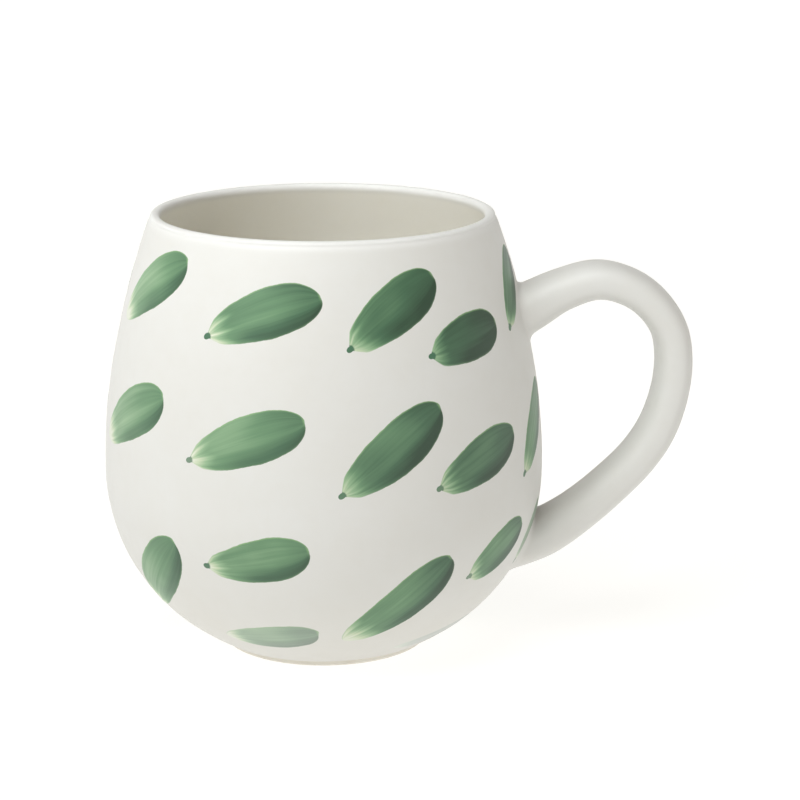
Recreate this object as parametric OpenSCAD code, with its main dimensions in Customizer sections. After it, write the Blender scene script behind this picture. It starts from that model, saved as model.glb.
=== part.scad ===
// Pot-bellied stoneware mug with a pulled strap handle and brush-painted leaves.
// Millimetres. The Z axis is the body's axis, z = 0 is the table, +X is the handle's side.

/* [Outside of the body] */
// Greatest radius, at the belly
belly_r = 47.5; // [47:0.1:48]
// Height of the belly above the table
belly_z = 39; // [38.5:0.1:39.5]
// Height of the lip's crest
mug_h = 95; // [93:0.5:97]
// Radius of the arc just below the belly
lower_arc_r = 41; // [40.5:0.1:41.5]
// Angle that the arc below the belly turns through
lower_arc_turn = 53; // [52:1:54]
// Radius of the flatter arc that runs down to the foot
base_arc_r = 62; // [61:0.5:63]
// Radius of the arc just above the belly
upper_arc_r = 133; // [128:1:138]
// Angle that the arc above the belly turns through
upper_arc_turn = 10.6; // [10:0.2:11.4]
// Radius of the arc that runs up to the lip
neck_arc_r = 203; // [195:1:210]

/* [Lip and inside] */
// Radius of the rounded lip, which is half of its thickness
lip_r = 1.2; // [1:0.1:1.5]
// Radius of the inside arc just below the belly
inner_arc_r = 30; // [29:0.5:31]
// Height of the inside floor at its middle
floor_z = 7; // [6.5:0.1:7.3]

/* [Foot] */
// Outer radius of the foot ring
foot_r = 22.5; // [22.2:0.1:22.6]
// Radial width of the foot ring
foot_w = 4.5; // [4:0.5:6]
// Height of the foot ring's straight side
foot_h = 1.2; // [1.1:0.1:1.4]
// Rounding of the foot ring's two edges
foot_edge_r = 0.5; // [0.3:0.1:0.8]
// Depth of the hollow that is turned inside the foot ring
recess_z = 2; // [1.5:0.1:2.5]
// How far the hollow's wall leans in over its depth
recess_lean = 1.5; // [1:0.5:3]

/* [Glaze and paint] */
// Thickness of the glaze
glaze_t = 0.3; // [0.2:0.05:0.4]
// Height above the table where the outside glaze stops
glaze_line_z = 1.6; // [1.5:0.1:2.5]
// Thickness of the painted strokes on the glaze
paint_t = 0.12; // [0.1:0.01:0.2]

/* [Handle] */
// Thickness of the strap, in the handle's plane
strap_t = 8; // [7:0.5:9]
// Width of the strap, across the handle's plane
strap_w = 14; // [12:0.5:15]
// Distance from the body's axis to the middle of the upright part of the strap
grip_x = 76; // [75:0.5:77]
// Height where the strap is upright
grip_z = 62; // [61:0.5:63]
// Radius of the bend between the upright part and the top of the strap
top_bend_r = 17.6; // [17.2:0.2:18]
// Radius of the bend between the top of the strap and the body
root_bend_r = 21.5; // [21:0.5:23]
// Radius of the long bend below the upright part
back_bend_r = 35.8; // [35:0.2:36.6]
// Length of the straight stretch below the long bend
slant_len = 9.2; // [8.4:0.2:10]
// Radius of the bend that brings the strap in to the body
tail_bend_r = 32; // [31:0.5:33]
// How far the luting clay reaches along the strap
lute_reach = 4; // [3:0.5:5]
// How far the luting clay spreads beyond the strap on every side
lute_spread = 1.6; // [1:0.1:2]

/* [Painted leaves] */
// Greatest width of a leaf stroke
leaf_w = 10.6; // [8:0.2:11]
// Part of a leaf's length that its blunt end is rounded over
leaf_blunt = 0.34; // [0.3:0.02:0.4]

/* [Hidden] */
$fn = 256;

// Each leaf: angle round the body, height of its middle, rise of its axis, length, and
// width as a share of leaf_w. The strokes are set by hand, so their spacing is uneven.
RIM_LEAVES = [
    [-151, 82.3, 35, 26, 1], [-108, 80.1, 21, 26, 1], [-70.3, 80.8, 35, 24.5, 1],
    [-47.3, 73.6, 11, 21, 0.97], [-17.5, 80.5, 50, 21, 0.8], [22, 79, 24, 25, 1],
    [58, 80, 40, 24.5, 1], [93, 77, 18, 24, 1], [129, 79.5, 42, 25, 1], [166, 78, 24, 25, 1],
];
BELLY_LEAVES = [
    [-151, 55.6, 28.5, 27, 1.05], [-111, 55.2, 21, 27.5, 1], [-73, 53.1, 37, 28, 1.03],
    [-47, 48.6, 19, 25, 0.98], [-18, 50.5, 47, 24, 0.9], [12, 52, 22, 24, 1],
    [46, 50, 42, 25, 1], [80, 54, 20, 26, 1], [113, 50, 42, 26, 1], [143, 54.5, 22, 26, 1],
    [170, 49, 36, 25, 1],
];
LOW_LEAVES = [
    [-144.2, 21.2, 46, 30, 1.05], [-108.2, 30.4, 13, 24, 0.96], [-68.3, 18.7, 46.6, 29.3, 1.08],
    [-37.2, 26.9, 28.5, 19.5, 1], [-15.5, 26.5, 62, 15.5, 0.62], [27, 25, 24, 23, 1],
    [62, 28, 46, 24, 1], [96, 21.5, 22, 25, 1], [131, 28, 44, 25, 1], [166, 23, 28, 24, 1],
];
FOOT_LEAVES = [
    [-108.6, 10.3, 11.5, 22, 0.88], [-42, 6.3, 15, 21, 0.66], [24, 9.5, 16, 20, 0.9],
    [70, 10, 12, 22, 0.9], [118, 9.5, 18, 22, 0.9], [165, 10, 12, 22, 0.9],
];

function leaf_names(row, leaves) = [for (i = [1 : len(leaves)]) str("leaf_", row, "_", i)];

// Widest extent of any section, and the cutters' overshoot.
FAR = 120;
SLACK = 0.01;

// How far a leaf's cutter runs into the wall and out of it.
CUTTER_IN = 8;
CUTTER_OUT = 4;

// The luting collars: a slice's thickness, how round a slice is, and how far a collar
// starts inside the wall, as a multiple of its reach.
SLICE = 0.2;
SLICE_FN = 32;
LUTE_DEPTH = 1.5;

// Turns of the strap's bends. The two end bends stop well inside the wall.
TOP_TURN = 90;
ROOT_TURN = 60;
BACK_TURN = 45;
TAIL_TURN = 43;

// Centres of the outside arcs, in the plane of radius and height.
lower_c = [belly_r - lower_arc_r, belly_z];
base_c = lower_c - (base_arc_r - lower_arc_r) * [cos(lower_arc_turn), -sin(lower_arc_turn)];
upper_c = [belly_r - upper_arc_r, belly_z];
neck_c = upper_c - (neck_arc_r - upper_arc_r) * [cos(upper_arc_turn), sin(upper_arc_turn)];

// The lip's round is tangent to the neck arc, where the wall leans in by lip_lean.
lip_lean = asin((mug_h - lip_r - neck_c.y) / (neck_arc_r - lip_r));
lip_normal = [cos(lip_lean), sin(lip_lean)];
lip_c = neck_c + (neck_arc_r - lip_r) * lip_normal;

// The inside neck arc is tangent to the lip's round and upright level with the belly.
inner_neck_r = (lip_c.y - lip_r * lip_normal.y - belly_z) / lip_normal.y;
inner_neck_c = lip_c - (lip_r + inner_neck_r) * lip_normal;
inner_lower_c = [inner_neck_c.x + inner_neck_r - inner_arc_r, belly_z];

// The floor arc is centred on the axis and tangent to the inside lower arc.
floor_drop = belly_z - floor_z;
floor_arc_r = (pow(floor_drop, 2) + pow(inner_lower_c.x, 2) - pow(inner_arc_r, 2))
    / (2 * (floor_drop - inner_arc_r));
floor_c = [0, floor_z + floor_arc_r];
floor_join_dir = (inner_lower_c - floor_c) / norm(inner_lower_c - floor_c);

// Centres of the handle's bends, and the ends of its straight stretch, in the XZ plane.
top_c = [grip_x - top_bend_r, grip_z];
root_c = top_c + [0, top_bend_r - root_bend_r];
back_c = [grip_x - back_bend_r, grip_z];
slant_normal = [cos(BACK_TURN), -sin(BACK_TURN)];
slant_start = back_c + back_bend_r * slant_normal;
slant_end = slant_start - slant_len * [sin(BACK_TURN), cos(BACK_TURN)];
tail_c = slant_end - tail_bend_r * slant_normal;

// The outside arc at a height, as [centre, radius].
function arc_at(z) =
    z < lower_c.y - lower_arc_r * sin(lower_arc_turn) ? [base_c, base_arc_r] :
    z < belly_z ? [lower_c, lower_arc_r] :
    z < upper_c.y + upper_arc_r * sin(upper_arc_turn) ? [upper_c, upper_arc_r] :
    [neck_c, neck_arc_r];

// Where the circle of centre a and radius r meets the circle of centre b and radius s.
// side is 1 or -1 and picks one of the two points.
function meeting(a, r, b, s, side) =
    let (
        gap = norm(b - a),
        along = (b - a) / gap,
        run = (r * r - s * s + gap * gap) / (2 * gap),
        rise = sqrt(r * r - run * run)
    )
    a + run * along + side * rise * [-along.y, along.x];

function angle_on(c, point) = atan2(point.y - c.y, point.x - c.x);

root_wall_angle = angle_on(root_c, meeting(root_c, root_bend_r, neck_c, neck_arc_r, -1));
tail_wall_angle = angle_on(tail_c, meeting(tail_c, tail_bend_r, lower_c, lower_arc_r, 1));

// One arc's share of a section: its disc between two heights, filled in to the axis.
module arc_slice(c, r, low, high) {
    intersection() {
        translate(c) circle(r);
        translate([0, low]) square([FAR, high - low]);
    }
    if (c.x > 0) translate([0, low]) square([c.x, high - low]);
}

// Everything inside the outer surface, moved out by skin and left open at the top.
module outer_section(skin) {
    base_join = lower_c.y - (lower_arc_r + skin) * sin(lower_arc_turn);
    neck_join = upper_c.y + (upper_arc_r + skin) * sin(upper_arc_turn);
    arc_slice(base_c, base_arc_r + skin, 0, base_join);
    arc_slice(lower_c, lower_arc_r + skin, base_join, belly_z);
    arc_slice(upper_c, upper_arc_r + skin, belly_z, neck_join);
    arc_slice(neck_c, neck_arc_r + skin, neck_join, mug_h + lip_r);
}

// Everything inside the inner surface, moved in by skin and running out at the top.
module inner_section(skin) {
    floor_join = floor_c.y + (floor_arc_r - skin) * floor_join_dir.y;
    arc_slice(floor_c, floor_arc_r - skin, 0, floor_join);
    arc_slice(inner_lower_c, inner_arc_r - skin, floor_join, belly_z);
    arc_slice(inner_neck_c, inner_neck_r - skin, belly_z, mug_h + 2 * lip_r);
}

// The wall's section, with both faces and the lip grown by skin.
module wall_section(skin) {
    difference() {
        outer_section(skin);
        inner_section(skin);
        translate(lip_c) rotate(lip_lean) translate([-FAR / 4, 0]) square(FAR / 2);
    }
    translate(lip_c) circle(lip_r + skin);
}

// The foot ring's section, with two rounded edges.
module foot_section() {
    inner = foot_r - foot_w;
    translate([inner, foot_edge_r]) square([foot_w, foot_h - foot_edge_r]);
    translate([inner + foot_edge_r, 0]) square([foot_w - 2 * foot_edge_r, foot_h]);
    translate([inner + foot_edge_r, foot_edge_r]) circle(foot_edge_r);
    translate([foot_r - foot_edge_r, foot_edge_r]) circle(foot_edge_r);
}

// The hollow inside the foot ring.
module recess_section() {
    mouth = foot_r - foot_w;
    polygon([[0, -SLACK], [mouth, -SLACK], [mouth - recess_lean, recess_z], [0, recess_z]]);
}

// The glaze on both faces and over the lip.
module coat_section() {
    difference() {
        wall_section(0);
        wall_section(-glaze_t);
    }
}

// The body as one filled shape, to trim what is fixed on its outside.
module filled_body(skin) {
    rotate_extrude() outer_section(skin);
}

module stadium(t, w) {
    square([t, w - t], center = true);
    for (side = [-1, 1]) translate([0, side * (w - t) / 2]) circle(t / 2);
}

// The strap's section, skin smaller all round than its finished size.
module strap_section(skin) {
    stadium(strap_t - 2 * skin, strap_w - 2 * skin);
}

// A bend of a section: an arc in the XY plane about the origin, from the X axis on.
module bend(r, turn) {
    rotate_extrude(angle = turn) translate([r, 0]) children();
}

// Stands the XY plane up as the XZ plane, with its origin at c.
module upright(c) {
    translate([c.x, 0, c.y]) rotate([90, 0, 0]) children();
}

// A section swept along the whole strap, running on into the wall at both ends.
// Each stretch is placed from the one before it, so that their ends meet exactly.
module strap_sweep() {
    upright(top_c) {
        bend(top_bend_r, TOP_TURN) children();
        translate([0, top_bend_r - root_bend_r]) rotate(TOP_TURN) bend(root_bend_r, ROOT_TURN) children();
        translate([top_bend_r - back_bend_r, 0]) rotate(-BACK_TURN) {
            bend(back_bend_r, BACK_TURN) children();
            translate([back_bend_r, 0]) rotate([90, 0, 0]) linear_extrude(slant_len) children();
            translate([back_bend_r - tail_bend_r, -slant_len])
                mirror([0, 1])
                    bend(tail_bend_r, TAIL_TURN) children();
        }
    }
}

// A thin slice across the strap, at an angle on one of its bends.
module strap_slice(c, r, angle, spread) {
    upright(c)
        rotate(angle)
            translate([r, 0])
                rotate([90, 0, 0])
                    linear_extrude(SLICE, center = true)
                        stadium(strap_t + 2 * spread, strap_w + 2 * spread, $fn = SLICE_FN);
}

// Luting clay: a collar on one bend that narrows along the strap, away from the wall.
module lute(c, r, wall_angle, outward) {
    reach = outward * lute_reach / r * 180 / PI;
    inside = wall_angle - LUTE_DEPTH * reach;
    outside = wall_angle + reach;
    difference() {
        hull() {
            strap_slice(c, r, inside, lute_spread);
            strap_slice(c, r, wall_angle, lute_spread);
            strap_slice(c, r, outside, SLICE);
        }
        upright(c)
            rotate(min(inside, outside) - abs(reach))
                bend(r, abs(outside - inside) + 2 * abs(reach))
                    strap_section(0);
        filled_body(0);
    }
}

// A leaf's outline along X, pointed at its low end and blunt at its high end.
// It is a lens that would run on past the blunt end by a third of that end's radius.
module leaf_outline(length, width) {
    blunt_r = length * leaf_blunt;
    chord = length + blunt_r / 3;
    lens_r = (chord * chord + width * width) / (4 * width);
    intersection() {
        translate([(chord - length) / 2, width / 2 - lens_r]) circle(lens_r);
        translate([(chord - length) / 2, lens_r - width / 2]) circle(lens_r);
        union() {
            translate([-length, -width]) square([length + length / 2 - blunt_r, 2 * width]);
            translate([length / 2 - blunt_r, 0]) circle(blunt_r);
        }
    }
}

// One painted stroke: the coat of paint, cut to the leaf's outline square to the wall.
module leaf_stroke(azimuth, height, rise, length, width) {
    arc = arc_at(height);
    lean = asin((height - arc[0].y) / arc[1]);
    wall_r = arc[0].x + arc[1] * cos(lean);
    color("olivedrab")
        intersection() {
            rotate_extrude()
                difference() {
                    outer_section(paint_t);
                    outer_section(0);
                    square([FAR, glaze_line_z]);
                    translate([0, lip_c.y]) square([FAR, FAR]);
                }
            rotate([0, 0, azimuth])
                translate([wall_r, 0, height])
                    rotate([0, -lean, 0])
                        rotate([90, 0, 90])
                            translate([0, 0, -CUTTER_IN])
                                linear_extrude(CUTTER_IN + CUTTER_OUT)
                                    rotate(rise)
                                        leaf_outline(length, width);
        }
}

// The strokes of one row that are called for, each a node of its own.
module leaf_row(row, leaves) {
    names = leaf_names(row, leaves);
    for (i = [0 : len(leaves) - 1])
        leaf_stroke(leaves[i][0], leaves[i][1], leaves[i][2], leaves[i][3], leaf_w * leaves[i][4]);
}

module stoneware_body() {
    color("tan")
        rotate_extrude()
            difference() {
                union() {
                    wall_section(-glaze_t);
                    foot_section();
                }
                recess_section();
            }
}

module handle() {
    color("tan")
        difference() {
            strap_sweep() strap_section(glaze_t);
            filled_body(-glaze_t);
        }
}

module upper_lute() {
    color("whitesmoke") lute(root_c, root_bend_r, root_wall_angle, -1);
}

module lower_lute() {
    color("whitesmoke") lute(tail_c, tail_bend_r, tail_wall_angle, 1);
}

// The glaze outside, with the handle's two seats left clear.
module outer_glaze() {
    color("whitesmoke")
        difference() {
            rotate_extrude()
                difference() {
                    coat_section();
                    outer_section(-lip_r);
                    square([FAR, glaze_line_z]);
                }
            strap_sweep() strap_section(0);
        }
}

module liner_glaze() {
    color("linen")
        rotate_extrude()
            intersection() {
                coat_section();
                outer_section(-lip_r);
            }
}

module handle_glaze() {
    color("whitesmoke")
        difference() {
            strap_sweep()
                difference() {
                    strap_section(0);
                    strap_section(glaze_t);
                }
            filled_body(-glaze_t);
        }
}

stoneware_body();
handle();
upper_lute();
lower_lute();
outer_glaze();
liner_glaze();
handle_glaze();
leaf_row("rim", RIM_LEAVES);
leaf_row("belly", BELLY_LEAVES);
leaf_row("low", LOW_LEAVES);
leaf_row("foot", FOOT_LEAVES);
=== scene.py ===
"""Looks of a pot-bellied stoneware mug with brush-painted leaves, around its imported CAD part.

Metres in the CAD frame: +Z runs up the mug's axis, z = 0 is the table, +X is the handle's side.
The wall is read from the glaze nodes' own outlines, and each painted stroke lies where its CAD
node lies. The handle's path is set here, and its ends follow the wall.
"""

import math

import bpy
import numpy as np
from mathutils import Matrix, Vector


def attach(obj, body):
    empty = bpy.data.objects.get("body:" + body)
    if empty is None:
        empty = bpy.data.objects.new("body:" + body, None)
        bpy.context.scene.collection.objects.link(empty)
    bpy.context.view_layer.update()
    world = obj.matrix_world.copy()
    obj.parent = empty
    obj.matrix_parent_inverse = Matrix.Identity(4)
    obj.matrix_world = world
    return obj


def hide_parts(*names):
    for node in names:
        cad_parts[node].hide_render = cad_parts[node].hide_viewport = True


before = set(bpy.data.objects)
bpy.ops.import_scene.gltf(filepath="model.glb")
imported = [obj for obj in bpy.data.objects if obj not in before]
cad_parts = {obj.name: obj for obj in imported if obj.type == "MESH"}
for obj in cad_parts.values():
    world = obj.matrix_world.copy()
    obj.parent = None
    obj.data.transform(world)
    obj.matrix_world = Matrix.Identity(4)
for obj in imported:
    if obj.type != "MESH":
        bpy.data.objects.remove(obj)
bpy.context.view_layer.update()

MM = 0.001
GLAZE_T = 0.3 * MM

# ---------------------------------------------------------------- camera

CAMERA_AT = (0.0, -0.5409, 0.1899)
CAMERA_AIM = (0.0165, 0.0, 0.0530)
LENS_MM = 115.35
SENSOR_MM = 36.0

# ---------------------------------------------------------------- the wall's shape

ROUND_STEPS = 240
HANDLE_SIDE = math.radians(60)
SMOOTH_STEPS = 4000
SMOOTH_REACH = 12


def vertex_array(mesh, what):
    """One three-part value of every vertex, such as its place or its normal, as rows."""
    values = np.zeros(len(mesh.vertices) * 3)
    mesh.vertices.foreach_get(what, values)
    return values.reshape(-1, 3)


def turned_side(node, outside):
    """One visible face of a turned CAD node: (radius, height) of its rings, from the bottom up.

    The handle's side is left out, because the outside coat is cut away there.
    """
    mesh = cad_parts[node].data
    points = vertex_array(mesh, "co")
    normals = vertex_array(mesh, "normal")
    radius = np.hypot(points[:, 0], points[:, 1])
    facing = (normals[:, 0] * points[:, 0] + normals[:, 1] * points[:, 1]) / np.maximum(radius, 1e-6)
    away = (np.abs(np.arctan2(points[:, 1], points[:, 0])) > HANDLE_SIDE) | (radius < MM)
    if outside:
        seen = facing > 0.3
    else:
        seen = (facing < -0.02) | (normals[:, 2] > 0.5)
    keep = away & seen
    heights, ring = np.unique(np.round(points[keep, 2], 5), return_inverse=True)
    radii = np.bincount(ring.ravel(), radius[keep]) / np.bincount(ring.ravel())
    return np.column_stack([radii, heights])


def resample(line, spacing):
    """A line of points again, about evenly spaced and a little smoother."""
    length = np.concatenate([[0], np.cumsum(np.hypot(*np.diff(line, axis=0).T))])
    fine = np.linspace(0, length[-1], SMOOTH_STEPS)
    fine_line = np.column_stack([np.interp(fine, length, line[:, k]) for k in range(2)])
    kernel = np.hanning(2 * SMOOTH_REACH + 3)[1:-1]
    kernel /= kernel.sum()
    before = 2 * fine_line[0] - fine_line[SMOOTH_REACH:0:-1]
    after = 2 * fine_line[-1] - fine_line[-2 : -SMOOTH_REACH - 2 : -1]
    padded = np.vstack([before, fine_line, after])
    smooth = np.column_stack([np.convolve(padded[:, k], kernel, "valid") for k in range(2)])
    smooth[0], smooth[-1] = fine_line[0], fine_line[-1]
    steps = max(2, round(length[-1] / spacing))
    at = np.linspace(0, length[-1], steps + 1)
    return np.column_stack([np.interp(at, fine, smooth[:, k]) for k in range(2)])


OUTSIDE = turned_side("outer_glaze", True)
INSIDE = turned_side("liner_glaze", False)
INSIDE[0, 0] = 0.0
LIP_Z = max(OUTSIDE[-1, 1], INSIDE[-1, 1])
TRUE_LIP = 14 * MM
LEAN_STEP = 0.8 * MM


def wobble(azimuth, height):
    """The slight unevenness of a hand-thrown wall, as an offset of its radius; the lip runs true."""
    slow = 0.10 * np.sin(2 * azimuth + 0.8) + 0.06 * np.sin(3 * azimuth - 70 * height + 2.1)
    rings = 0.010 * np.sin(height / MM * 2.1 + 0.5 * np.sin(azimuth + 1.0))
    drift = 0.025 * np.sin(height / MM * 0.47 + azimuth)
    near_lip = np.clip((LIP_Z - height) / TRUE_LIP, 0, 1)
    return (slow + rings + drift) * near_lip**2 * (3 - 2 * near_lip) * MM


def wall_radius(azimuth, height):
    """The outer surface's radius at an azimuth and height."""
    return np.interp(height, OUTSIDE[:, 1], OUTSIDE[:, 0]) + wobble(azimuth, height)


def wall_lean(height):
    """How far the outer surface's normal tips up from level, in radians."""
    above = np.interp(height + LEAN_STEP, OUTSIDE[:, 1], OUTSIDE[:, 0])
    below = np.interp(height - LEAN_STEP, OUTSIDE[:, 1], OUTSIDE[:, 0])
    return np.arctan2(below - above, 2 * LEAN_STEP)


def wall_normal(points):
    """The way that the outer surface faces at the points' azimuths and heights."""
    azimuth = np.arctan2(points[..., 1], points[..., 0])
    lean = wall_lean(points[..., 2])
    return np.stack([np.cos(lean) * np.cos(azimuth), np.cos(lean) * np.sin(azimuth), np.sin(lean)], axis=-1)


def wall_distance(points):
    """How far points stand off the outer surface, about square to it."""
    azimuth = np.arctan2(points[..., 1], points[..., 0])
    gap = np.hypot(points[..., 0], points[..., 1]) - wall_radius(azimuth, points[..., 2])
    return gap * np.cos(wall_lean(points[..., 2]))


def settle(points, distance):
    """Points moved square to the wall until they stand off it by distance."""
    for _ in range(4):
        points = points + (distance - wall_distance(points))[..., None] * wall_normal(points)
    return points


# ---------------------------------------------------------------- meshes


def make_piece(name, vertices, faces, stands_for, material, normals=None):
    """A mesh object that rides on the body and stands for CAD nodes."""
    mesh = bpy.data.meshes.new(name)
    mesh.from_pydata([tuple(v) for v in vertices], [], faces)
    mesh.polygons.foreach_set("use_smooth", np.ones(len(mesh.polygons), bool))
    mesh.validate()
    if normals is not None:
        mesh.normals_split_custom_set_from_vertices([tuple(n) for n in normals])
    piece = bpy.data.objects.new(name, mesh)
    bpy.context.scene.collection.objects.link(piece)
    mesh.materials.append(material)
    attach(piece, "root")
    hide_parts(*stands_for)
    return piece


def grid_faces(rows, columns, start=0, closed=True, flip=False):
    """Quads of a grid of points whose columns run round and, if closed, meet."""
    faces = []
    for i in range(rows - 1):
        for j in range(columns if closed else columns - 1):
            a = start + i * columns + j
            b = start + i * columns + (j + 1) % columns
            quad = (a, b, b + columns, a + columns)
            faces.append(quad[::-1] if flip else quad)
    return faces


SHEET_STEP = 0.9 * MM
LIP_STEP = 0.2 * MM
LIP_ZONE = 3.2 * MM
STILL_R = 20 * MM


def turned_sheet(line):
    """A sheet turned about Z from a line, as points by row and azimuth.

    The wobble fades out towards the axis, so that the floor and the foot stay flat.
    """
    azimuth = np.arange(ROUND_STEPS) * 2 * math.pi / ROUND_STEPS
    height = np.repeat(line[:, 1:2], ROUND_STEPS, axis=1)
    azimuth = np.repeat(azimuth[None, :], len(line), axis=0)
    fade = np.clip(line[:, 0:1] / STILL_R, 0, 1)
    radius = line[:, 0:1] + fade * wobble(azimuth, height)
    return np.stack([radius * np.cos(azimuth), radius * np.sin(azimuth), height], axis=-1)


def sheet_normals(sheet):
    """The normals of a turned sheet of points, on its seen side."""
    round_way = np.roll(sheet, -1, axis=1) - np.roll(sheet, 1, axis=1)
    along = np.gradient(sheet, axis=0)
    normals = np.cross(along, round_way)
    return normals / np.maximum(np.linalg.norm(normals, axis=-1, keepdims=True), 1e-12)


def coat(name, rows, normals, node, material, pole):
    """A closed coat of glaze: its seen sheet, its back on the clay, and the edges between.

    With a pole, the first row closes at the axis instead of ending in an edge.
    """
    back = rows - GLAZE_T * normals
    count = len(rows)
    points = np.concatenate([rows, back]).reshape(-1, 3)
    point_normals = np.concatenate([normals, -normals]).reshape(-1, 3)
    last, size = (count - 1) * ROUND_STEPS, count * ROUND_STEPS
    faces = grid_faces(count, ROUND_STEPS, flip=True)
    faces += grid_faces(count, ROUND_STEPS, start=size)
    for j in range(ROUND_STEPS):
        k = (j + 1) % ROUND_STEPS
        faces.append((last + k, last + j, size + last + j, size + last + k))
        if not pole:
            faces.append((j, k, size + k, size + j))
    if pole:
        middle = rows[0].mean(axis=0)
        under = back[0].mean(axis=0)
        points = np.vstack([points, middle, under])
        up = normals[0].mean(axis=0)
        up /= np.linalg.norm(up)
        point_normals = np.vstack([point_normals, up, -up])
        for j in range(ROUND_STEPS):
            k = (j + 1) % ROUND_STEPS
            faces.append((2 * size, j, k))
            faces.append((2 * size + 1, size + k, size + j))
    make_piece(name, points, faces, [node], material, point_normals)


def glaze_coats(outer_material, liner_material):
    """Both coats of glaze: one sheet from the floor's middle to the glaze line, parted at the lip."""
    down_outside = OUTSIDE[::-1]
    line = np.vstack([INSIDE[INSIDE[:, 1] < LIP_Z - 0.02 * MM], down_outside])
    line = resample(line, SHEET_STEP)
    fine = resample(np.vstack([INSIDE, down_outside]), LIP_STEP)
    crest = int(np.argmax(line[:, 1]))
    far_inside = line[1:crest][line[1:crest, 1] <= LIP_Z - LIP_ZONE]
    far_outside = line[crest:][line[crest:, 1] <= LIP_Z - LIP_ZONE]
    line = np.vstack([far_inside, fine[fine[:, 1] > LIP_Z - LIP_ZONE], far_outside])
    crest = int(np.argmax(line[:, 1]))
    sheet = turned_sheet(line)
    normals = sheet_normals(sheet)
    coat(
        "liner_glaze_coat", sheet[: crest + 1], normals[: crest + 1],
        "liner_glaze", liner_material, pole=True,
    )
    coat(
        "outer_glaze_coat", sheet[crest:], normals[crest:],
        "outer_glaze", outer_material, pole=False,
    )


# ---------------------------------------------------------------- handle

# The strap from its upper seat round to its lower one, given in millimetres: x and z of
# its middle, its thickness in the handle's plane, and its width across that plane.
STRAP_STATIONS = (
    (37.0, 69.6, 11.2, 16.6),
    (45.0, 74.0, 9.9, 15.6),
    (51.5, 77.4, 8.5, 14.6),
    (59.0, 79.5, 8.0, 14.0),
    (65.9, 77.9, 7.9, 14.0),
    (71.2, 74.1, 7.9, 14.0),
    (74.9, 68.4, 7.9, 14.0),
    (76.0, 61.5, 7.9, 14.0),
    (75.2, 54.0, 7.9, 14.0),
    (72.6, 46.2, 8.0, 14.0),
    (68.2, 39.5, 8.0, 14.0),
    (62.0, 33.2, 8.2, 14.2),
    (55.4, 27.6, 8.6, 14.6),
    (49.0, 23.4, 9.4, 15.4),
    (43.5, 21.4, 10.2, 16.2),
    (36.0, 19.4, 10.6, 16.8),
)
STATION_STEPS = 40
STRAP_ROUND = 72
# The section is a superellipse: 2 is an ellipse, and more is squarer.
STRAP_POWER = 2.7
FILLET = 1.5 * MM
SEAT_SINK = 0.35 * MM
# Rows of the mesh near each seat, by how far along the strap they lie from the wall, in mm.
SEAT_ROWS = (-0.5, 0.0, 0.04, 0.12, 0.25, 0.45, 0.7, 1.0, 1.4, 1.9, 2.5, 3.3, 4.3, 5.5, 7.0)
MIDDLE_ROWS = 110


def smooth_path(rows, steps):
    """Rows of numbers joined by one smooth curve through all of them."""
    rows = np.array(rows, float)
    padded = np.vstack([2 * rows[0] - rows[1], rows, 2 * rows[-1] - rows[-2]])
    pieces = []
    t = np.linspace(0, 1, steps, endpoint=False)[:, None]
    for a, b, c, d in zip(padded, padded[1:], padded[2:], padded[3:]):
        square = 2 * a - 5 * b + 4 * c - d
        cube = 3 * b - a - 3 * c + d
        pieces.append(0.5 * (2 * b + (c - a) * t + square * t**2 + cube * t**3))
    return np.vstack(pieces + [rows[-1:]])


def signed_power(value, power):
    """A power of a value's size, with the value's sign."""
    return np.sign(value) * np.abs(value) ** power


def strap_surface(path, length, at, angle):
    """Points of the swept strap and the outward way at each, at a length and an angle round it."""
    x, z, thick, wide = (np.interp(at, length, path[:, k]) for k in range(4))
    tangent = np.gradient(path[:, :2], length, axis=0)
    out_x = np.interp(at, length, -tangent[:, 1])
    out_z = np.interp(at, length, tangent[:, 0])
    size = np.hypot(out_x, out_z)
    out_x, out_z = out_x / size, out_z / size
    a = thick / 2 * signed_power(np.cos(angle), 2 / STRAP_POWER)
    b = wide / 2 * signed_power(np.sin(angle), 2 / STRAP_POWER)
    slope_a = signed_power(a / (thick / 2), STRAP_POWER - 1) / (thick / 2)
    slope_b = signed_power(b / (wide / 2), STRAP_POWER - 1) / (wide / 2)
    size = np.hypot(slope_a, slope_b)
    slope_a, slope_b = slope_a / size, slope_b / size
    points = np.stack([x + a * out_x, b, z + a * out_z], axis=-1)
    outward = np.stack([slope_a * out_x, slope_b, slope_a * out_z], axis=-1)
    return points, outward


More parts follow.
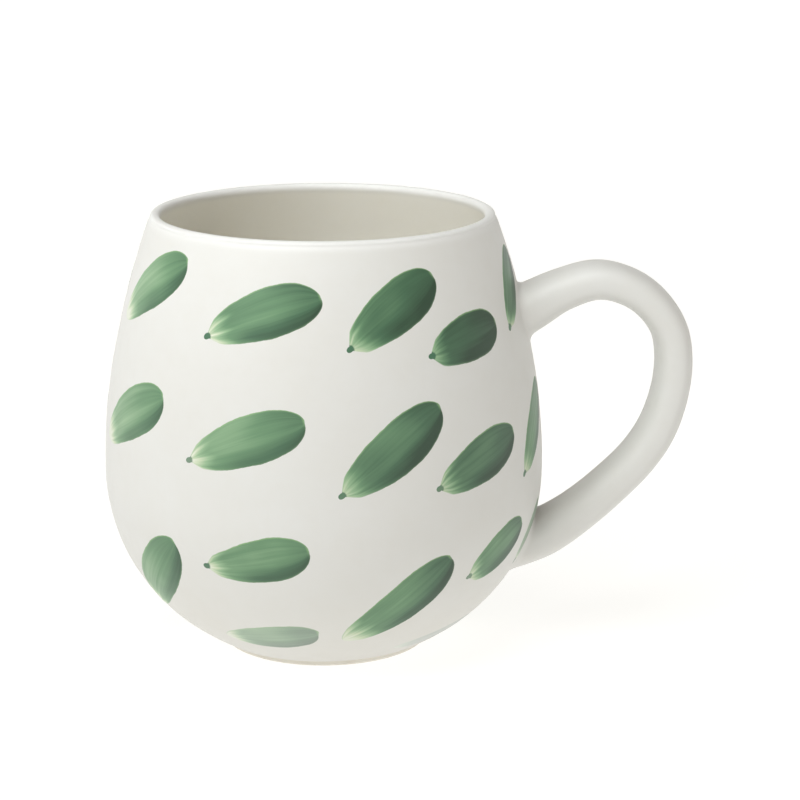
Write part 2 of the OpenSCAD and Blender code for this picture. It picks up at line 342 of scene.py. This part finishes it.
def strap_handle(material):
    """The pulled handle: a swept strap whose ends spread into fillets that lie on the wall."""
    path = smooth_path(STRAP_STATIONS, STATION_STEPS) * MM
    length = np.concatenate([[0], np.cumsum(np.hypot(*np.diff(path[:, :2], axis=0).T))])
    angle = np.arange(STRAP_ROUND) * 2 * math.pi / STRAP_ROUND
    grid_at, grid_angle = np.meshgrid(length, angle, indexing="ij")
    distance = wall_distance(strap_surface(path, length, grid_at, grid_angle)[0])
    half = len(length) // 2
    starts = [np.interp(0, distance[:half, j], length[:half]) for j in range(STRAP_ROUND)]
    stops = [np.interp(0, distance[half:, j][::-1], length[half:][::-1]) for j in range(STRAP_ROUND)]
    starts, stops = np.array(starts)[None, :], np.array(stops)[None, :]
    near = np.array(SEAT_ROWS)[:, None] * MM
    share = np.linspace(0, 1, MIDDLE_ROWS + 2)[1:-1, None]
    at = np.vstack([
        starts + near,
        starts + near[-1] + (stops - starts - 2 * near[-1]) * share,
        stops - near[::-1],
    ])
    around = np.repeat(angle[None, :], len(at), axis=0)
    points, outward = strap_surface(path, length, at, around)
    stand = np.clip(wall_distance(points), 0, None)
    inner = np.clip(FILLET - stand, 0, FILLET)
    spread = FILLET - np.sqrt(FILLET**2 - inner**2)
    points = points + spread[..., None] * outward
    stand[0], stand[-1] = -SEAT_SINK, -SEAT_SINK
    close = stand < FILLET
    points = np.where(close[..., None], settle(points, stand), points)
    rows = len(points)
    vertices = points.reshape(-1, 3)
    faces = grid_faces(rows, STRAP_ROUND)
    faces.append(tuple(range(STRAP_ROUND))[::-1])
    faces.append(tuple(range((rows - 1) * STRAP_ROUND, rows * STRAP_ROUND)))
    make_piece(
        "strap_handle", vertices, faces,
        ["handle", "handle_glaze", "upper_lute", "lower_lute"], material,
    )


# ---------------------------------------------------------------- painted leaves

# Strokes with no dark bead at the tip. The strokes of the foot row have none either.
PLAIN_TIPS = ("leaf_rim_1", "leaf_belly_1", "leaf_low_1", "leaf_low_3")
# How far a stroke fades into the glaze, from 0 to 1.
FAINT = {"leaf_foot_1": 0.25, "leaf_foot_2": 0.72, "leaf_foot_4": 0.35, "leaf_low_5": 0.25}
# How much colour the brush held, from about 0 to 1. Other strokes draw theirs at random.
LOAD = {
    "leaf_rim_1": -0.1, "leaf_rim_2": 0.3, "leaf_rim_3": 0.7, "leaf_rim_4": 1.1,
    "leaf_belly_1": -0.1, "leaf_belly_2": 0.0, "leaf_belly_3": 0.6, "leaf_belly_4": 0.7,
    "leaf_low_1": 0.0, "leaf_low_2": 0.1, "leaf_low_3": 0.35, "leaf_low_4": 0.3, "leaf_foot_1": 0.0,
}
STROKE_LONG = 72
STROKE_WIDE = 20
PAINT_T = 0.05 * MM
PAINT_SINK = 0.02 * MM
PAINT_BACK = 0.10 * MM
SOFT_EDGE = 0.5 * MM
BEAD_R = 0.85 * MM
FIRST_SEED = 4100
# The wavering of a stroke's edges: a slow wave and two quicker, smaller ones.
EDGE_SWINGS = (0.08 * MM, 0.04 * MM, 0.02 * MM)


def stroke_place(node):
    """Where a stroke's CAD node lies: its middle, its axes on the wall, and its size."""
    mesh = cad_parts[node].data
    points = vertex_array(mesh, "co")
    centres = np.zeros(len(mesh.polygons) * 3)
    areas = np.zeros(len(mesh.polygons))
    mesh.polygons.foreach_get("center", centres)
    mesh.polygons.foreach_get("area", areas)
    centres = centres.reshape(-1, 3)
    middle = np.average(centres, axis=0, weights=areas)
    azimuth = math.atan2(middle[1], middle[0])
    normal = wall_normal(middle)
    level = np.array([-math.sin(azimuth), math.cos(azimuth), 0.0])
    up = np.cross(normal, level)
    flat = np.column_stack([(centres - middle) @ level, (centres - middle) @ up])
    spread = (flat * areas[:, None]).T @ flat
    _, ways = np.linalg.eigh(spread)
    way = ways[:, 1] * (1 if ways[0, 1] > 0 else -1)
    along = way[0] * level + way[1] * up
    across = np.cross(normal, along)
    run = (points - middle) @ along
    side = (points - middle) @ across
    middle = middle + along * (run.max() + run.min()) / 2 + across * (side.max() + side.min()) / 2
    return middle, along, across, normal, run.max() - run.min(), side.max() - side.min()


def stroke_grid():
    """A stroke's own coordinates: u from tip to blunt end, v from lower side to upper.

    Rows crowd towards both ends, and columns towards both sides.
    """
    share = np.linspace(0, 1, STROKE_LONG + 1)
    share = share - 0.65 * np.sin(2 * math.pi * share) / (2 * math.pi)
    side = np.sin(np.linspace(-math.pi / 2, math.pi / 2, STROKE_WIDE + 1))
    return np.meshgrid(share, side, indexing="ij")


def stroke_half_width(u, long, wide, point, blunt, plain):
    """Half of a stroke's width along it: a full oval, with a small round bead at most tips."""
    start = 0.0 if plain else 0.03
    body = np.clip((u - start) / (1 - start), 0, 1)
    widest = (u**point * (1 - u**blunt) ** 0.5).max()
    half_width = body**point * (1 - body**blunt) ** 0.5 / widest * wide / 2
    half_width = half_width * np.clip(body / 0.10, 0, 1) ** (0.1 if plain else 0.35)
    if plain:
        return half_width
    from_bead = np.clip(np.abs(u * long - BEAD_R) / BEAD_R, 0, 1)
    return np.maximum(half_width, 0.85 * BEAD_R * np.sqrt(1 - from_bead**2))


def ragged_edge(u, v, phase):
    """The small wavering of a stroke's two edges, which fades out inside it and at its ends."""
    ragged = np.zeros_like(u)
    for turn, swing in enumerate(EDGE_SWINGS):
        beat = 9 * 2.5**turn
        upper = np.sin(beat * u + phase[turn])
        lower = np.sin(0.9 * beat * u + phase[turn + 3])
        ragged += swing * np.where(v > 0, upper, lower)
    return ragged * np.abs(v) * np.clip(u * (1 - u) * 12, 0, 1)


def dropped_on_wall(points, normal):
    """Points slid along one direction until they meet the outer surface."""
    for _ in range(8):
        step = wall_distance(points) / np.maximum(np.sum(wall_normal(points) * normal, axis=-1), 0.2)
        points = points - step[..., None] * normal
    return points


def two_sided_faces(rows, columns):
    """Faces of a top sheet, of a back sheet under it, and of the edge between the two."""
    size = rows * columns
    faces = grid_faces(rows, columns, closed=False, flip=True)
    faces += grid_faces(rows, columns, start=size, closed=False)
    rim = [i * columns for i in range(rows)]
    rim += [(rows - 1) * columns + j for j in range(1, columns)]
    rim += [i * columns + columns - 1 for i in range(rows - 2, -1, -1)]
    rim += [j for j in range(columns - 2, 0, -1)]
    for p, q in zip(rim, rim[1:] + rim[:1]):
        faces.append((p, q, q + size, p + size))
    return faces


def painted_leaf(node, number, material):
    """One brush stroke: a thin lens of paint whose edge sinks into the glaze."""
    middle, along, across, normal, long, wide = stroke_place(node)
    plain = node in PLAIN_TIPS or node.startswith("leaf_foot_")
    rng = np.random.default_rng(FIRST_SEED + number)
    point, blunt = rng.uniform(0.40, 0.47), rng.uniform(2.5, 3.4)
    bow = rng.uniform(-0.2, 0.5) * MM
    skew = rng.uniform(-0.05, 0.16) * 3 * MM
    phase = rng.uniform(0, 2 * math.pi, 6)
    u, v = stroke_grid()
    half_width = stroke_half_width(u, long, wide, point, blunt, plain)
    a = (u - 0.5) * long + skew * v * u**6
    b = v * half_width + bow * np.sin(math.pi * u) + np.sign(v) * ragged_edge(u, v, phase)
    flat = middle + a[..., None] * along + b[..., None] * across
    ground = dropped_on_wall(flat, normal)
    edge = np.clip(np.minimum((1 - np.abs(v)) * half_width, (1 - u) * long * 0.8), 0, None)
    rise = PAINT_T * (np.clip(edge / SOFT_EDGE, 0, 1) ** 0.7) - PAINT_SINK
    top = ground + rise[..., None] * wall_normal(ground)
    back = ground - PAINT_BACK * wall_normal(ground)
    vertices = np.concatenate([top.reshape(-1, 3), back.reshape(-1, 3)])
    faces = two_sided_faces(*u.shape)
    piece = make_piece(node + "_stroke", vertices, faces, [node], material)
    count = len(vertices)
    values = {
        "run": np.tile(u.ravel(), 2),
        "side": np.tile((v.ravel() + 1) / 2, 2),
        "edge_mm": np.tile(edge.ravel() / MM, 2),
        "tip_mm": np.tile(np.hypot((a + 0.5 * long - BEAD_R), b).ravel() / MM, 2),
        "dot": np.full(count, 0.0 if plain else rng.uniform(0.75, 1.0)),
        "sample": np.full(count, rng.uniform(0, 40)),
        "load": np.full(count, LOAD.get(node, rng.uniform(0, 0.8))),
        "faint": np.full(count, FAINT.get(node, 0.0)),
    }
    for name, value in values.items():
        layer = piece.data.attributes.new(name, "FLOAT", "POINT")
        layer.data.foreach_set("value", value.astype(np.float32))


# ---------------------------------------------------------------- materials


def tint(red, green, blue):
    """A colour given in the usual 0 to 255 steps, as linear light."""
    steps = [c / 255 for c in (red, green, blue)]
    return tuple(c / 12.92 if c <= 0.04045 else ((c + 0.055) / 1.055) ** 2.4 for c in steps) + (1.0,)


class Shader:
    """A material and short ways to add its nodes."""

    def __init__(self, name):
        self.material = bpy.data.materials.new(name)
        self.material.use_nodes = True
        self.tree = self.material.node_tree
        self.tree.nodes.clear()

    def add(self, kind, inputs=None, **settings):
        """A node; each input is another node's output or a constant."""
        node = self.tree.nodes.new(kind)
        for key, value in settings.items():
            setattr(node, key, value)
        for key, value in (inputs or {}).items():
            if isinstance(value, bpy.types.NodeSocket):
                self.tree.links.new(value, node.inputs[key])
            else:
                node.inputs[key].default_value = value
        return node

    def math(self, operation, a, b):
        return self.add("ShaderNodeMath", {0: a, 1: b}, operation=operation).outputs[0]

    def sway(self, noise, size):
        """A noise about nought, from about minus to plus half of a size."""
        return self.math("MULTIPLY", self.math("SUBTRACT", noise, 0.5), size)

    def remap(self, value, low, high, to_low=0.0, to_high=1.0):
        """A soft step from one value to another as the input runs from low to high."""
        inputs = {0: value, 1: low, 2: high, 3: to_low, 4: to_high}
        return self.add("ShaderNodeMapRange", inputs, interpolation_type="SMOOTHSTEP").outputs[0]

    def mix(self, share, a, b):
        return self.add("ShaderNodeMix", {0: share, 6: a, 7: b}, data_type="RGBA").outputs[2]

    def ramp(self, value, stops):
        node = self.add("ShaderNodeValToRGB", {0: value})
        elements = node.color_ramp.elements
        while len(elements) < len(stops):
            elements.new(0.5)
        for element, (place, colour) in zip(elements, stops):
            element.position = place
            element.color = colour
        return node.outputs[0]

    def noise(self, vector, scale, detail=2.0, rough=0.5):
        inputs = {"Vector": vector, "Scale": scale, "Detail": detail, "Roughness": rough}
        return self.add("ShaderNodeTexNoise", inputs).outputs[0]

    def place(self):
        return self.add("ShaderNodeTexCoord").outputs["Object"]

    def scaled(self, vector, scale):
        return self.add("ShaderNodeMapping", {"Vector": vector, "Scale": scale}).outputs[0]

    def value_of(self, name):
        """A value that the mesh carries at its points."""
        return self.add("ShaderNodeAttribute", attribute_name=name).outputs["Fac"]

    def bump(self, height, distance, strength=1.0, after=None):
        inputs = {"Height": height, "Distance": distance, "Strength": strength}
        if after is not None:
            inputs["Normal"] = after
        return self.add("ShaderNodeBump", inputs).outputs[0]

    def finish(self, **inputs):
        """Joins the surface to the output; an underscore in an input's name stands for a space."""
        named = {key.replace("_", " "): value for key, value in inputs.items()}
        surface = self.add("ShaderNodeBsdfPrincipled", named)
        out = self.add("ShaderNodeOutputMaterial")
        self.tree.links.new(surface.outputs[0], out.inputs[0])
        return self.material


def satin_glaze(name, body, warm, lip, rough):
    """Opaque satin glaze: faint clouding, warmer and darker towards the bottom, its own tint at the lip."""
    s = Shader(name)
    place = s.place()
    height = s.add("ShaderNodeSeparateXYZ", {0: place}).outputs[2]
    cloud = s.noise(place, 55.0, 3.0, 0.55)
    fine_cloud = s.noise(place, 330.0, 2.0, 0.5)
    # The colour turns warmer and darker towards the bottom, from 30 mm down to 4 mm above the table.
    toward_bottom = s.remap(height, 0.030, 0.004)
    warmth = s.math("ADD", s.math("MULTIPLY", cloud, 0.45), s.math("MULTIPLY", toward_bottom, 0.30))
    colour = s.mix(warmth, body, warm)
    colour = s.mix(s.remap(fine_cloud, 0.35, 0.75, 0.0, 0.10), colour, warm)
    colour = s.mix(s.remap(height, LIP_Z - 2.6 * MM, LIP_Z - 0.4 * MM), colour, lip)
    satin = s.remap(s.noise(place, 240.0, 3.0, 0.6), 0.25, 0.75, rough - 0.04, rough + 0.06)
    skin = s.bump(s.noise(place, 420.0, 2.0, 0.5), 0.00006, 0.35)
    skin = s.bump(s.noise(place, 2600.0, 1.0, 0.5), 0.00001, 0.35, skin)
    return s.finish(Base_Color=colour, Roughness=satin, Normal=skin, IOR=1.5)


def brush_paint(name, ground):
    """Green underglaze: pale at the stroke's tip, softly streaked, deep at its end and lower side.

    It is placed by the strokes' own point values, which painted_leaf gives them.
    """
    s = Shader(name)
    run, side = s.value_of("run"), s.value_of("side")
    edge, tip = s.value_of("edge_mm"), s.value_of("tip_mm")
    fan = s.add("ShaderNodeCombineXYZ", {0: run, 1: side, 2: s.value_of("sample")}).outputs[0]
    finger = s.noise(s.scaled(fan, (0.9, 6.0, 1.0)), 1.0, 2.0, 0.45)
    streak = s.noise(s.scaled(fan, (1.1, 11.0, 1.0)), 1.0, 2.0, 0.5)
    hair = s.noise(s.scaled(fan, (2.0, 30.0, 1.0)), 1.0, 1.0, 0.5)
    blot = s.noise(s.scaled(fan, (2.2, 1.6, 1.0)), 1.0, 1.0, 0.5)
    reach = s.math("ADD", run, s.sway(finger, 0.26))
    lower = s.math("MULTIPLY", s.remap(side, 0.46, 0.10), s.remap(reach, 0.16, 0.50))
    depth = s.math("MULTIPLY", s.remap(reach, 0.0, 0.27), 0.50)
    depth = s.math("ADD", depth, s.math("MULTIPLY", lower, 0.24))
    depth = s.math("ADD", depth, s.math("MULTIPLY", s.remap(run, 0.45, 1.0), 0.16))
    depth = s.math("ADD", depth, s.sway(streak, 0.18))
    depth = s.math("ADD", depth, s.sway(hair, 0.07))
    depth = s.math("ADD", depth, s.sway(blot, 0.26))
    depth = s.math("ADD", depth, s.math("MULTIPLY", s.math("SUBTRACT", s.value_of("load"), 0.25), 0.28))
    colour = s.ramp(depth, [
        (0.00, tint(214, 218, 202)),
        (0.12, tint(192, 205, 174)),
        (0.30, tint(144, 176, 138)),
        (0.50, tint(101, 139, 103)),
        (0.70, tint(68, 103, 76)),
        (0.92, tint(45, 70, 51)),
    ])
    outline = s.math("MULTIPLY", s.remap(edge, 0.55, 0.10), s.remap(side, 0.30, 0.75, 0.25, 0.80))
    colour = s.mix(outline, colour, tint(134, 172, 118))
    fade = s.math("MULTIPLY", s.remap(edge, 0.35, 0.0), s.remap(run, 0.40, 0.05, 0.10, 0.75))
    colour = s.mix(fade, colour, ground)
    grain = s.noise(s.place(), 900.0, 2.0, 0.5)
    from_bead = s.math("ADD", tip, s.sway(grain, 0.4))
    bead = s.math("MULTIPLY", s.remap(from_bead, 1.05, 0.70), s.value_of("dot"))
    colour = s.mix(bead, colour, tint(58, 104, 76))
    colour = s.mix(s.value_of("faint"), colour, ground)
    skin = s.bump(hair, 0.00002, 0.2)
    skin = s.bump(s.noise(s.place(), 2600.0, 1.0, 0.5), 0.00001, 0.35, skin)
    satin = s.remap(streak, 0.2, 0.8, 0.36, 0.46)
    return s.finish(Base_Color=colour, Roughness=satin, Normal=skin, IOR=1.5)


def bare_clay(name):
    """Pale fired stoneware on the foot: matt, with fine specks and the marks of turning."""
    s = Shader(name)
    place = s.place()
    cloud = s.noise(place, 140.0, 4.0, 0.6)
    colour = s.ramp(cloud, [
        (0.25, tint(222, 217, 205)),
        (0.50, tint(229, 225, 214)),
        (0.80, tint(234, 231, 222)),
    ])
    cells = s.add("ShaderNodeTexVoronoi", {"Vector": place, "Scale": 900.0, "Randomness": 1.0})
    pick = s.remap(s.add("ShaderNodeSeparateColor", {0: cells.outputs["Color"]}).outputs[1], 0.72, 0.9)
    speck = s.math("MULTIPLY", s.remap(cells.outputs["Distance"], 0.32, 0.16), pick)
    colour = s.mix(s.math("MULTIPLY", speck, 0.5), colour, tint(186, 172, 150))
    wave = {"Vector": place, "Scale": 420.0, "Distortion": 1.2, "Detail": 2.0}
    rings = s.add("ShaderNodeTexWave", wave, wave_type="RINGS", rings_direction="Z").outputs[1]
    skin = s.bump(rings, 0.00005, 0.5)
    skin = s.bump(s.noise(place, 1800.0, 3.0, 0.6), 0.00006, 0.6, skin)
    matt = s.remap(cloud, 0.3, 0.8, 0.78, 0.92)
    return s.finish(Base_Color=colour, Roughness=matt, Normal=skin, IOR=1.5)


def studio_paper(name):
    """The pale floor, with a little light of its own, more of it far off, so that it stays white."""
    s = Shader(name)
    place = s.place()
    tone = s.noise(place, 14.0, 2.0, 0.5)
    colour = s.mix(s.remap(tone, 0.3, 0.7), (0.22, 0.22, 0.22, 1), (0.24, 0.24, 0.24, 1))
    far = s.remap(s.add("ShaderNodeVectorMath", {0: place}, operation="LENGTH").outputs[1], 0.25, 1.4)
    glow = s.mix(far, tint(240, 239, 236), tint(252, 252, 251))
    return s.finish(Base_Color=colour, Roughness=0.9, Emission_Color=glow, Emission_Strength=1.0)


# ---------------------------------------------------------------- studio

FLOOR_R = 3.2
COVE_R = 0.45
COVE_TOP = 0.65
FLOOR_SIDES = 96
FLOOR_GAP = 0.02 * MM
BODY_MIDDLE = (0, 0, 0.05)
LAMP_COLOUR = (0.95, 0.98, 1.0)
AMBIENT_COLOUR = (1.0, 0.92, 0.80, 1.0)
AMBIENT = 0.26
CUP_SPOT_AWAY = 1.0
CUP_SPOT_R = 0.042


def aim_light(name, lamp, azimuth, height, distance, aim):
    """Places a lamp round the mug, at an azimuth and a height above level in degrees."""
    azimuth, height = math.radians(azimuth), math.radians(height)
    level = math.cos(height)
    away = Vector((level * math.cos(azimuth), level * math.sin(azimuth), math.sin(height)))
    thing = bpy.data.objects.new(name, lamp)
    thing.location = Vector(aim) + distance * away
    thing.rotation_euler = (-away).to_track_quat("-Z", "Y").to_euler()
    bpy.context.scene.collection.objects.link(thing)


def soft_box(name, azimuth, height, distance, size, watts):
    """A square soft box that faces the mug's middle."""
    lamp = bpy.data.lights.new(name, "AREA")
    lamp.shape = "SQUARE"
    lamp.size = size
    lamp.energy = watts
    lamp.color = LAMP_COLOUR
    aim_light(name, lamp, azimuth, height, distance, BODY_MIDDLE)


def studio_floor():
    """A round pale floor whose far edge curves up into a low wall."""
    turn = np.linspace(0, math.pi / 2, 9)
    radius = np.append(FLOOR_R + COVE_R * np.sin(turn), FLOOR_R + COVE_R)
    height = np.append(COVE_R * (1 - np.cos(turn)), COVE_TOP)
    azimuth = np.arange(FLOOR_SIDES) * 2 * math.pi / FLOOR_SIDES
    points = [
        (r * math.cos(a), r * math.sin(a), z) for r, z in zip(radius, height) for a in azimuth
    ]
    faces = grid_faces(len(radius), FLOOR_SIDES, flip=True) + [tuple(range(FLOOR_SIDES))]
    mesh = bpy.data.meshes.new("studio_floor")
    mesh.from_pydata(points, [], faces)
    mesh.polygons.foreach_set("use_smooth", np.ones(len(mesh.polygons), bool))
    mesh.materials.append(studio_paper("studio_paper"))
    floor = bpy.data.objects.new("studio_floor", mesh)
    floor.location.z = -FLOOR_GAP
    bpy.context.scene.collection.objects.link(floor)


def studio_lights():
    """A dim warm surround, three soft boxes, and a narrow lamp on the inside of the far wall."""
    world = bpy.data.worlds.new("studio_world")
    world.use_nodes = True
    world.node_tree.nodes["Background"].inputs[0].default_value = AMBIENT_COLOUR
    world.node_tree.nodes["Background"].inputs[1].default_value = AMBIENT
    bpy.context.scene.world = world

    soft_box("key_light", -140, 36, 1.35, 0.60, 4.6)
    soft_box("left_light", -175, 30, 1.35, 0.75, 0.9)
    soft_box("top_light", -122, 68, 1.15, 0.80, 8.2)

    snoot = bpy.data.lights.new("cup_light", "SPOT")
    snoot.energy = 22.0
    snoot.spot_size = 2 * math.atan(CUP_SPOT_R / CUP_SPOT_AWAY)
    snoot.spot_blend = 0.6
    snoot.shadow_soft_size = 0.06
    aim_light("cup_light", snoot, -116, 44, CUP_SPOT_AWAY, (0.010, 0.034, LIP_Z - 7 * MM))


def photo_camera():
    """The camera, at the viewing angle and distance that the mug's outline asks for."""
    camera = bpy.data.cameras.new("photo_camera")
    camera.lens = LENS_MM
    camera.sensor_width = SENSOR_MM
    camera.clip_start = 0.01
    eye = bpy.data.objects.new("photo_camera", camera)
    eye.location = CAMERA_AT
    eye.rotation_euler = (Vector(CAMERA_AIM) - Vector(CAMERA_AT)).to_track_quat("-Z", "Y").to_euler()
    bpy.context.scene.collection.objects.link(eye)
    bpy.context.scene.camera = eye
    bpy.context.scene.view_settings.view_transform = "Standard"


# ---------------------------------------------------------------- put together

GLAZE_TINT = tint(218, 218, 215)
LIP_TINT = tint(224, 224, 221)
outer_material = satin_glaze("outer_satin_glaze", GLAZE_TINT, tint(209, 206, 197), LIP_TINT, 0.50)
liner_material = satin_glaze("liner_satin_glaze", tint(245, 244, 238), tint(240, 235, 220), LIP_TINT, 0.48)
paint_material = brush_paint("leaf_brush_paint", GLAZE_TINT)

glaze_coats(outer_material, liner_material)
strap_handle(outer_material)
leaf_nodes = sorted(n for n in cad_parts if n.startswith("leaf_"))
for number, node in enumerate(leaf_nodes):
    painted_leaf(node, number, paint_material)

clay_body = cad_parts["stoneware_body"]
clay_body.data.materials.clear()
clay_body.data.materials.append(bare_clay("bare_stoneware"))

studio_floor()
studio_lights()
photo_camera()
